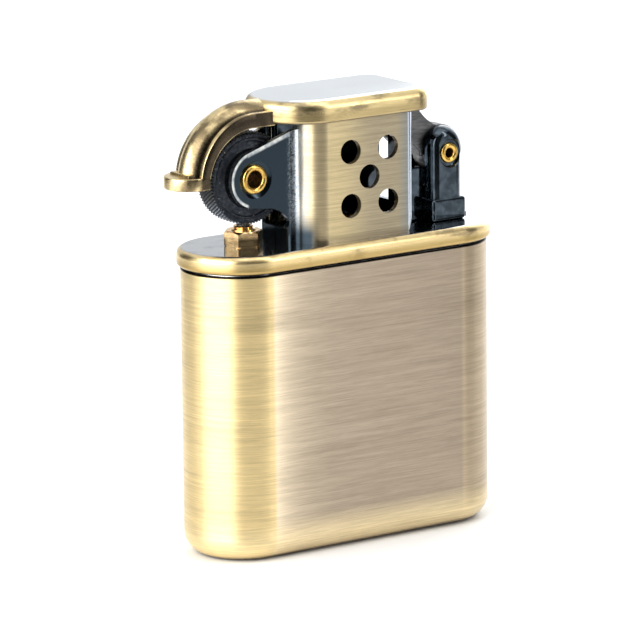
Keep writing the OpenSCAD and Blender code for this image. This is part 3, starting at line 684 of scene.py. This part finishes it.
def chimney(look, inside, edge):
    """Bent sheet with five air holes, made as a front half and its mirrored back half."""
    half = CHIMNEY_HIGH.y

    def is_rim(centre, normal):
        on_ear = centre.x < -8.9 and abs(normal.y) < 0.93 and centre.z > PLATE_TOP + 2.2
        return on_ear and not (abs(centre.y) < 2.0 or hypot(centre.x - WHEEL_X, centre.z - WHEEL_Z) < 2.8)

    def is_inside(centre, normal):
        inner_wall = normal.y * (-1 if centre.y > 0 else 1) > 0.15
        inner_end = normal.x < -0.5 and centre.x > CHIMNEY_HIGH.x - 1.2
        return inner_wall or inner_end or (normal.x > 0.3 and centre.x < -4.0)

    areas = [(edge, is_rim), (inside, is_inside)]
    low = CHIMNEY_LOW.z
    right = CHIMNEY_HIGH.x
    sheet = slab_z("chimney_front", chimney_plan(), low, CHIMNEY_HIGH.z)
    joined(sheet, block("sill", (right - SHEET, -1.5, low), (right, -0.01, low + 3.3)))
    combined(sheet, [slab_y("trim", chimney_side(), -half - 1, 0.5)], "INTERSECT")
    joined(sheet, block("low wall", (-8.8, -2.5, low), (-8.3, -0.06, low + 1.7)))
    joined(sheet, block("foot", (-0.4, -half + SHEET / 2, low), (6.2, -3.2, low + 0.5)))
    tools = [turned_y("hole", x, z, [(AIR_HOLE_R, -half - 1), (AIR_HOLE_R, 0)], 56) for x, z in AIR_HOLES]
    tools.append(turned_y("bore", WHEEL_X, WHEEL_Z, [(1.45, -half), (1.45, 0)], 48))
    dimple = [(2.55, -half), (2.3, -2.74), (1.9, -2.5), (1.2, -2.5)]
    tools.append(turned_y("dimple", WHEEL_X, WHEEL_Z, dimple, 64))
    cut(sheet, *tools)
    eased(sheet, 0.3, 4)
    back = sheet.copy()
    back.data = sheet.data.copy()
    back.data.transform(Matrix.Scale(-1, 4, (0, 1, 0)))
    back.data.flip_normals()
    SCENE.collection.objects.link(back)
    back.name = "chimney_back"
    done(sheet, look, "insert", ["chimney"], areas=areas)
    done(back, look, "insert", areas=areas)


def flint_wheel(look):
    """Diamond-knurled wheel with toothed edges, a turned side face and a bore."""
    teeth = 84
    around = teeth * 6
    half = WHEEL_HIGH.y
    depth = 0.36
    bore = 1.45
    across = 24

    def ridge(turn, y):
        """Height of the crossed knurl, from 0 in a groove to 1 on a point."""
        phases = [(teeth * turn / (2 * pi) + way * y / 0.7) % 1.0 for way in (-1, 1)]
        return min(1 - abs(2 * phase - 1) for phase in phases) ** 0.7

    def tooth(turn):
        return abs(2 * ((teeth * turn / (2 * pi)) % 1.0) - 1)

    turns = [2 * pi * i / around for i in range(around)]
    face = [(bore, 0.0), (bore, 0.55), (bore + 0.12, 0.66), (2.5, 0.66), (2.65, 0.80), (3.5, 0.80)]
    face += [(3.62, 0.92), (3.8, 0.92), (3.92, 0.84), (4.55, 0.84), (4.65, 0.97), (4.8, 0.97), (4.9, 0.9)]
    side = [(r, half * share) for r, share in face if share > 0]
    rings = [[(WHEEL_X + r * cos(t), -y, WHEEL_Z + r * sin(t)) for t in turns] for r, y in side]
    for r, y, bite in ((5.15, 0.97, 0.0), (5.45, 0.955, 0.10), (WHEEL_R - 0.02, 0.86, 0.26)):
        rings.append([(WHEEL_X + (r - bite * tooth(t)) * cos(t), -half * y + bite * tooth(t) * 0.8,
                       WHEEL_Z + (r - bite * tooth(t)) * sin(t)) for t in turns])
    for i in range(1, across):
        y = half * 0.84 * (2 * i / across - 1)
        rings.append([(WHEEL_X + (WHEEL_R - depth * (1 - ridge(t, y))) * cos(t), y,
                       WHEEL_Z + (WHEEL_R - depth * (1 - ridge(t, y))) * sin(t)) for t in turns])
    for r, y, bite in ((WHEEL_R - 0.02, 0.86, 0.26), (5.45, 0.955, 0.10), (5.15, 0.97, 0.0)):
        rings.append([(WHEEL_X + (r - bite * tooth(t)) * cos(t), half * y - bite * tooth(t) * 0.8,
                       WHEEL_Z + (r - bite * tooth(t)) * sin(t)) for t in turns])
    rings += [[(WHEEL_X + r * cos(t), y, WHEEL_Z + r * sin(t)) for t in turns] for r, y in reversed(side)]
    done(loft("wheel_knurled", rings, wrap=True), look, "wheel", ["flint_wheel"], sharp=50)


def hollow_rivet(name, node, x, z, radii, seat, look, deep):
    """Tubular rivet along Y whose ends are rolled over into round flanges.

    The radii are those of the shank, the bore and the flanges.
    """
    shank_r, bore_r, flange_r = radii
    half = node_box(node)[1].y
    lip = (flange_r - bore_r) / 2
    middle = bore_r + lip
    rise = half - seat
    end = [(middle + lip * cos(radians(a)), seat + rise * sin(radians(a))) for a in range(0, 181, 15)]
    profile = [(shank_r, -seat + 0.02)] + [(r, -y) for r, y in end] + [(bore_r * 0.93, -seat + 0.9)]
    profile += [(bore_r * 0.93, seat - 0.9)] + [(r, y) for r, y in reversed(end)] + [(shank_r, seat - 0.02)]
    piece = turned_y(name, x, z, profile, 64, wrap=True)

    def is_bore(centre, normal):
        return hypot(centre.x - x, centre.z - z) < bore_r * 1.02 and abs(centre.y) < seat + rise * 0.55

    done(piece, look, "insert", [node], sharp=45, areas=[(deep, is_bore)])


def flint_nut(look):
    """Hexagon nut with its corners turned down at the top."""
    x = (NUT_LOW.x + NUT_HIGH.x) / 2
    flat = NUT_HIGH.y
    steps = 96
    turns = [360 * i / steps for i in range(steps)]
    turned = 42
    corner = {t: flat / cos(radians((t - turned) % 60 - 30)) for t in turns}
    crown = flat * 0.97

    def ring(radius, height):
        return [(x + radius(t) * cos(radians(t)), radius(t) * sin(radians(t)), height(t)) for t in turns]

    rings = [
        ring(lambda t: flat * 0.6, lambda t: NUT_LOW.z),
        ring(lambda t: min(corner[t], flat * 1.08), lambda t: NUT_LOW.z),
        ring(lambda t: corner[t], lambda t: NUT_LOW.z + 0.12),
        ring(lambda t: corner[t], lambda t: NUT_HIGH.z - 0.06 - (corner[t] - crown) * 0.62),
        ring(lambda t: crown, lambda t: NUT_HIGH.z),
        ring(lambda t: flat * 0.72, lambda t: NUT_HIGH.z),
        ring(lambda t: flat * 0.62, lambda t: NUT_HIGH.z - 0.12),
    ]
    done(loft("nut_hexagon", rings), look, "insert", ["flint_nut"], sharp=22)


def flint_tube(look):
    x = (TUBE_LOW.x + TUBE_HIGH.x) / 2
    r = TUBE_HIGH.y
    top = TUBE_HIGH.z
    bore = 0.85
    low = TUBE_LOW.z
    profile = [(bore, low + 0.1), (bore + 0.1, low), (r - 0.1, low), (r, low + 0.1)]
    profile += [(r, NUT_HIGH.z - 0.1), (r + 0.26, NUT_HIGH.z - 0.1), (r + 0.26, NUT_HIGH.z + 0.12)]
    profile += [(r - 0.06, NUT_HIGH.z + 0.22), (r, top - 0.12), (r - 0.12, top), (bore + 0.08, top)]
    profile += [(bore, top - 0.08)]
    piece = turned_z("tube_flint_guide", x, 0, profile, 64, wrap=True)
    done(piece, look, "insert", ["flint_tube"])


def cheek(side):
    """One side of the hinge post: straight legs under a dome, its outer edge rounded over."""
    half_x = 2.4
    x = (POST_LOW.x + POST_HIGH.x) / 2
    dome = POST_HIGH.z - half_x
    slot = 1.45
    outer = POST_HIGH.y - 0.2
    edge = 1.5

    def ring(inset, y):
        points = [(x + half_x - inset, side * y, POST_LOW.z + 0.5)]
        points += [(px, side * y, pz) for px, pz in arc(x, dome, half_x - inset, 0, 180, 36)]
        points.append((x - half_x + inset, side * y, POST_LOW.z + 0.5))
        return points

    rings = [ring(0.08, slot), ring(0, slot + 0.08)]
    for i in range(13):
        t = radians(90 * i / 12)
        rings.append(ring(edge * (1 - cos(t)) * 0.8, outer - edge * (1 - sin(t))))
    return loft("post_cheek", rings)


def hinge_post(look):
    """Forked post: two domed cheeks on a foot, each with a sunk seat for the rivet."""
    x = (POST_LOW.x + POST_HIGH.x) / 2
    low = POST_LOW.z
    foot = block("post_casting", (POST_LOW.x, POST_LOW.y, low), (POST_HIGH.x, POST_HIGH.y, low + 2.8))
    base = eased(foot, 0.42, 4)
    web = block("web", (x - 2.3, -1.6, low + 1), (x + 2.3, 1.6, low + 3.3))
    joined(base, cheek(-1), cheek(1), web)
    outer = POST_HIGH.y - 0.2
    tools = []
    for side in (-1, 1):
        well = [(1.86, side * (outer + 0.5)), (1.78, side * (outer - 0.02)), (1.66, side * (outer - 0.14))]
        well += [(1.62, side * (outer - 0.5)), (0.6, side * (outer - 0.5))]
        tools.append(turned_y("well", HINGE_X, HINGE_Z, well, 64))
    tools.append(turned_y("bore", HINGE_X, HINGE_Z, [(1.02, -4), (1.02, 4)], 48))
    cut(base, *tools)
    done(base, look, "insert", ["hinge_post"], sharp=40)


def hinge_arm(look):
    """Forged arm from the hinge to under the cap, with its tongue."""
    back = [(-4.6, 7.9), (-4.2, 6.9), (-3.7, 6.0), (-3.3, 5.45), (-2.9, 5.0), (-2.45, 4.5)]
    back += [(-2.0, 4.1), (-1.1, 3.5)]
    front = [(-2.75, -0.2), (-3.15, -0.35), (-3.35, 0.5), (-4.3, 1.3), (-6.6, 1.7)]
    front += [(-7.2, 2.3), (-7.2, 4.4), (-8.2, 5.9), (-9.6, 8.2)]
    outline = back + arc(-0.3, 0, 3.35, 96, -12, 26) + arc(0, 0, 2.75, -20, -172, 26) + front
    outline = [(HINGE_X + x, HINGE_Z + z) for x, z in outline]
    arm = slab_y("arm_forged", outline, -1.2, 1.2)
    cut(arm, turned_y("bore", HINGE_X, HINGE_Z, [(1.4, -3), (1.4, 3)], 48))
    top = ARM_HIGH.z
    tongue = block("tongue", (ARM_LOW.x, ARM_LOW.y, top - 1.1), (9.2, ARM_HIGH.y, top))
    joined(arm, tongue)
    eased(arm, 0.22, 3, 40)
    done(arm, look, "lid", ["hinge_arm"])


def cap_ring(inset, z, steps=16):
    """The cap's outline drawn in by an inset."""
    half = CAP_HIGH.y
    corner = 2.4
    right = CAP_HIGH.x - corner
    left = CAP_LOW.x + half
    outline = arc(right, corner - half, corner - inset, -90, 0, steps)
    outline += arc(right, half - corner, corner - inset, 0, 90, steps)
    outline += arc(left, 0, half - inset, 90, 270, steps * 3)
    return [(x, y, z) for x, y in outline]


def snuffer_cap(look):
    low = CAP_LOW.z
    high = CAP_HIGH.z
    ceiling = low + 1.8
    rim = 0.6
    rings = [cap_ring(rim, ceiling), cap_ring(rim, low + 0.1), cap_ring(rim - 0.1, low)]
    rings += [cap_ring(d, z) for d, z in quarter(0.4, low, 0, False, 6)]
    rings += [cap_ring(d, z) for d, z in quarter(1.15, 0, high, True, 12)]
    cap = loft("cap_bullnose", rings)
    slot = block("slot", (CHIMNEY_HIGH.x, -1.27, low - 1), (CAP_HIGH.x + 1, 1.27, ceiling))
    cut(cap, slot)
    done(cap, look, "lid", ["snuffer_cap"])


def lever_section(inner):
    """Half-round ridge between two flanges: points of (distance from the bend's centre, y)."""
    ridge = [(7.2 + 2.0 * cos(radians(a)), 2.0 * sin(radians(a))) for a in range(0, 73, 6)]
    flange = [(7.68, 1.98), (7.68, 2.10), (7.96, 2.20), (8.05, 2.28), (8.05, 2.72), (8.0, 2.84), (7.9, 2.9)]
    skirt = [(inner + 0.25, 2.9), (inner + 0.07, 2.83), (inner, 2.66)]
    right = ridge + flange + skirt
    left = [(r, -y) for r, y in reversed(right) if y > 0]
    return right + left


def thumb_lever(look):
    """Lever bent round the wheel, hollow inside on another centre, with a tab at its foot."""
    cx = -13.2
    cz = PLATE_TOP + 8.4
    hollow_x = -13.5
    hollow_z = PLATE_TOP + 8.15
    hollow_r = 6.45
    foot = LEVER_LOW.z
    tab_t = 1.55

    def inner(turn):
        dx = -sin(turn)
        dz = cos(turn)
        along = dx * (cx - hollow_x) + dz * (cz - hollow_z)
        gap = (cx - hollow_x) ** 2 + (cz - hollow_z) ** 2
        return -along + sqrt(along ** 2 - gap + hollow_r ** 2)

    rings = [[(x, y, cz + r) for r, y in lever_section(inner(0))] for x in (-10.2, -11.4, -12.4)]
    steps = 40
    for i in range(steps + 1):
        t = radians(90 * i / steps)
        rings.append([(cx - r * sin(t), y, cz + r * cos(t)) for r, y in lever_section(inner(t))])
    rings.append([(cx - r, y, foot + 0.25) for r, y in lever_section(inner(pi / 2))])
    lever = loft("lever_bent", rings)
    half = LEVER_HIGH.y
    tab_x = LEVER_LOW.x + half

    def tab_ring(inset, z):
        r = half - inset
        return [(x, y, z) for x, y in [(cx - 6.8, -r), (cx - 6.8, r)] + arc(tab_x, 0, r, 90, 270, 36)]

    tab = loft("tab", [tab_ring(d, z) for d, z in quarter(0.22, foot, 0, False, 4)]
               + [tab_ring(d, z) for d, z in quarter(0.22, 0, foot + tab_t, True, 4)])
    bar = eased(block("bar", (cx - 9.35, -2.0, foot + 1.0), (cx - 7.2, 2.0, foot + tab_t + 0.32)), 0.14, 2)
    joined(lever, tab, bar)
    left = CAP_LOW.x + CAP_HIGH.y
    cut(lever, turned_z("cap side", left, 0, [(CAP_HIGH.y - 0.3, 40), (CAP_HIGH.y - 0.3, 60)], 96))
    done(lever, look, "lid", ["thumb_lever"])


def coil_spring(look):
    """Helical spring in the flint tube."""
    low, high = node_box("flint_spring")
    x = (low.x + high.x) / 2
    wire = 0.15
    r = high.y - wire
    turns = 26
    per_turn = 16
    sides = 8
    total = turns * per_turn
    rings = []
    for i in range(total + 1):
        t = 2 * pi * i / per_turn
        z = low.z + wire + (high.z - low.z - 2 * wire) * i / total
        ring = []
        for k in range(sides):
            a = 2 * pi * k / sides
            ring.append((x + (r + wire * cos(a)) * cos(t), (r + wire * cos(a)) * sin(t), z + wire * sin(a)))
        rings.append(ring)
    done(loft("spring_coil", rings), look, "flint_feed", ["flint_spring"], sharp=70)


def flint_screw(look):
    """Slotted screw that closes the flint tube, with a thread and a coin-edged head."""
    low, high = node_box("flint_screw")
    x = (low.x + high.x) / 2
    head_r = high.y
    head_top = low.z + 1.4
    steps = 120
    turns = [2 * pi * i / steps for i in range(steps)]

    thread_pitch = 0.5
    notches = 30

    def ring(r, z, coin=0.0, thread=0.0):
        points = []
        for t in turns:
            along = (z / thread_pitch - t / (2 * pi)) % 1.0
            rr = r - coin * (0.5 + 0.5 * cos(notches * t)) - thread * abs(2 * along - 1)
            points.append((x + rr * cos(t), rr * sin(t), z))
        return points

    shank_r = 0.79
    rings = [ring(head_r - 0.3, low.z), ring(head_r - 0.1, low.z + 0.12), ring(head_r, low.z + 0.25, 0.07)]
    rings += [ring(head_r, head_top - 0.25, 0.07), ring(head_r - 0.2, head_top), ring(shank_r, head_top)]
    count = 40
    run = high.z - head_top - 0.3
    rings += [ring(shank_r, head_top + 0.1 + run * i / count, 0, 0.14) for i in range(count + 1)]
    rings.append(ring(0.55, high.z))
    screw = loft("screw_threaded", rings)
    slot = block("slot", (x - 3, -0.3, low.z - 1), (x + 3, 0.3, low.z + 0.6))
    cut(screw, slot)
    done(screw, look, "screw", ["flint_screw"])


def wick(look):
    """Braided wick: strands cross over each other round the core."""
    low, high = node_box("wick")
    x = (low.x + high.x) / 2
    r = high.y
    steps = 72
    rows = 130
    rings = []
    for i in range(rows + 1):
        z = low.z + (high.z - low.z) * i / rows
        ring = []
        for k in range(steps):
            t = 2 * pi * k / steps
            over = max(abs(sin(2 * t + z * 1.5)), abs(sin(2 * t - z * 1.5)))
            frayed = 1.0 - 0.10 * max(0.0, (z - high.z + 1.2) / 1.2) ** 2
            rr = r * (0.80 + 0.20 * over) * frayed
            ring.append((x + rr * cos(t), rr * sin(t), z))
        rings.append(ring)
    done(loft("wick_braid", rings), look, "insert", ["wick"], sharp=80)


def wavy(x, y, z):
    """Slow, fixed unevenness for hand-packed soft pieces, from -1 to 1."""
    folds = sin(1.9 * x + 0.7 * y) * 0.4 + sin(1.3 * z - 2.3 * y + 1.0) * 0.35
    return folds + sin(0.8 * x + 1.1 * z) * 0.25


def soft_fill(name, node, swell, look, hole_r):
    """Stuffed block inside the tank: crowned faces and lumpy sides within its CAD solid."""
    low, high = node_box(node)
    run = (high.x - low.x - high.y + low.y) / 2
    height = high.z - low.z
    layers = max(6, ceil(height / 1.2))
    rings = []
    for d, share in ((3.4, 0.0), (1.6, 0.0), (0.5, 0.02)):
        rings.append(stadium(run, high.y - d, low.z + height * share + swell * d * 0.05, 48))
    for i in range(1, layers):
        rings.append(stadium(run, high.y - 0.12, low.z + height * i / layers, 48))
    for d, share in ((0.5, 0.98), (1.6, 1.0), (3.4, 1.0)):
        rings.append(stadium(run, high.y - d, low.z + height * share - swell * d * 0.05, 48))
    lumpy = []
    for ring in rings:
        lumpy.append([(x - 0.1 * swell * wavy(x, y, z) * (1 if x > 0 else -1) * 0.5,
                       y * (1 - 0.02 * swell * (1 + wavy(x, y, z))), z) for x, y, z in ring])
    piece = loft(name, lumpy)
    cut(piece, turned_z("hole", WHEEL_X, 0, [(hole_r, low.z - 1), (hole_r, high.z + 1)], 48))
    done(piece, look, "insert", [node])


def snuffer_pad(look):
    low, high = node_box("snuffer_pad")
    x = (low.x + high.x) / 2
    r = high.y
    profile = [(0.4, low.z + 0.02), (r * 0.5, low.z + 0.04), (r - 0.45, low.z + 0.12)]
    profile.append((r - 0.1, low.z + 0.32))
    profile += [(r, low.z + 0.55), (r - 0.04, high.z - 0.05), (r - 0.2, high.z)]
    piece = turned_z("pad_felt", x, 0, profile, 72)
    done(piece, look, "lid", ["snuffer_pad"])


def carried_nodes(looks):
    """CAD nodes whose shape is right keep it: they get a rounded edge and a full material."""
    for node, (look, width) in looks.items():
        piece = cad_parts[node]
        piece.data.materials.clear()
        piece.data.materials.append(look)
        if width:
            weld = piece.modifiers.new("weld", "WELD")
            weld.merge_threshold = 0.002 * MM
            ease = piece.modifiers.new("ease", "BEVEL")
            ease.width = width * MM
            ease.segments = 3
            ease.limit_method = "ANGLE"
            ease.angle_limit = radians(40)


# ---- Studio ----
VIEW_AZIMUTH = -35.0
VIEW_ELEVATION = 12.43
VIEW_ROLL = -0.585
VIEW_DISTANCE = 0.6752
VIEW_AIM = (-0.00048, 0.00266, 0.02624)
VIEW_LENS = 311.0
LAMP_AIM_Z = 0.03


def direction(azimuth, elevation):
    """Unit vector towards a place in the studio. Azimuth 0 is in front, negative on the left."""
    a = radians(azimuth)
    e = radians(elevation)
    return Vector((sin(a) * cos(e), -cos(a) * cos(e), sin(e)))


def camera():
    data = bpy.data.cameras.new("camera")
    data.lens = VIEW_LENS
    data.clip_start = 0.01
    eye = bpy.data.objects.new("camera", data)
    SCENE.collection.objects.link(eye)
    back = direction(VIEW_AZIMUTH, VIEW_ELEVATION)
    eye.location = Vector(VIEW_AIM) + back * VIEW_DISTANCE
    level = back.to_track_quat("Z", "Y").to_matrix()
    eye.rotation_euler = (level @ Matrix.Rotation(radians(VIEW_ROLL), 3, "Z")).to_euler()
    SCENE.camera = eye


def softbox(name, azimuth, elevation, distance, width, height, radiance, colour=(1, 1, 1)):
    """Rectangular lamp that faces the lighter from a distance in metres."""
    data = bpy.data.lights.new(name, "AREA")
    data.shape = "RECTANGLE"
    data.size = width
    data.size_y = height
    data.energy = radiance * pi * width * height
    data.color = colour
    lamp = bpy.data.objects.new(name, data)
    SCENE.collection.objects.link(lamp)
    away = direction(azimuth, elevation)
    lamp.location = Vector((0, 0, LAMP_AIM_Z)) + away * distance
    lamp.rotation_euler = away.to_track_quat("Z", "Y").to_euler()


def flag(name, start, end, distance, height):
    """Upright dark board round part of the studio, which gives the metal its dark bands."""
    steps = 12
    turns = [start + (end - start) * i / steps for i in range(steps + 1)]
    feet = [direction(t, 0) * distance / MM for t in turns]
    points = [(p.x, p.y, 0.0) for p in feet] + [(p.x, p.y, height) for p in feet]
    faces = [(i, i + 1, i + steps + 2, i + steps + 1) for i in range(steps)]
    board = shape(name, points, faces)
    board.data.transform(Matrix.Scale(MM, 4))
    board.data.materials.append(board_look())
    board.visible_camera = False


def studio():
    world = bpy.data.worlds.new("studio")
    SCENE.world = world
    world.use_nodes = True
    world.node_tree.nodes["Background"].inputs["Color"].default_value = (0.93, 0.96, 1.0, 1)
    world.node_tree.nodes["Background"].inputs["Strength"].default_value = 0.82
    softbox("left softbox", -81, 20, 0.5, 0.58, 0.55, 3.9, (1.0, 0.99, 0.97))
    softbox("right softbox", 118, 25, 0.5, 0.45, 0.5, 1.7)
    softbox("top softbox", 20, 82, 0.6, 0.5, 0.5, 1.2)
    softbox("strip light", 31, 36, 0.2, 0.024, 0.2, 6.0, (1.0, 0.98, 0.94))
    flag("camera side board", -44, 17, 0.20, 260)
    flag("left back board", -168, -128, 0.26, 200)
    flag("right hand board", 40, 66, 0.24, 260)
    far = 4000
    corners = [(-far, -far, 0), (far, -far, 0), (far, far, 0), (-far, far, 0)]
    floor = shape("floor", corners, [(0, 1, 2, 3)])
    floor.data.transform(Matrix.Scale(MM, 4))
    floor.data.materials.append(floor_look())
    SCENE.view_settings.view_transform = "Standard"


# ---- Everything together ----
brass = case_look()
rivet_brass = rivet_look()
bore_tarnish_and_shade = bore_look()
fitting = fitting_look()
nickel = black_nickel_look()
felt = fibre_look("pressed felt", (0.62, 0.55, 0.44, 1), (0.36, 0.31, 0.24, 1))
washer = steel_look("washer steel", (0.62, 0.62, 0.63, 1), (0.40, 0.40, 0.42, 1))
spring = steel_look("spring steel", (0.30, 0.32, 0.36, 1), (0.14, 0.15, 0.18, 1), 0.25)
tin = steel_look("tinned sheet", (0.78, 0.77, 0.74, 1), (0.58, 0.57, 0.55, 1), 0.28, (0.08, 0.08, 4.0))

camera()
studio()
outer_case(brass)
top_plate(plate_look())
chimney(chimney_look(), nickel, edge_wear_and_highlight_look())
flint_wheel(wheel_look())
axle_radii = (1.4, 1.02, 1.8)
pin_radii = (1.0, 0.55, 1.28)
hollow_rivet("axle_hollow_rivet", "wheel_axle", WHEEL_X, WHEEL_Z, axle_radii, 2.5, rivet_brass, bore_tarnish_and_shade)
hollow_rivet("hinge_hollow_rivet", "hinge_rivet", HINGE_X, HINGE_Z, pin_radii, 2.7, rivet_brass, bore_tarnish_and_shade)
flint_nut(fitting)
flint_tube(fitting)
hinge_post(nickel)
hinge_arm(arm_look())
snuffer_cap(cap_look())
thumb_lever(lever_look())
coil_spring(spring)
flint_screw(fitting)
wick(wick_look(node_box("wick")[1].z))
wadding = fibre_look("cotton wadding", (0.93, 0.91, 0.85, 1), (0.70, 0.67, 0.60, 1), 2.0)
soft_fill("packing_cotton", "cotton_packing", 1.0, wadding, 1.3)
soft_fill("pad_tank_felt", "felt_pad", 0.5, felt, 2.6)
snuffer_pad(felt)
carried_nodes({
    "fuel_tank": (tin, 0.06),
    "wick_tube": (fitting, 0.08),
    "flint": (flint_look(), 0.06),
    "flint_plunger": (fitting, 0.06),
    "chimney_rivets": (rivet_brass, 0.12),
    "post_screws": (rivet_brass, 0.1),
    "arm_rivets": (rivet_brass, 0.12),
    "hinge_bush": (rivet_brass, 0.08),
    "axle_washers": (washer, 0.04),
    "hinge_washers": (washer, 0.03),
    "lid_stop": (nickel, 0.25),
    "lid_spring": (spring, 0.06),
})
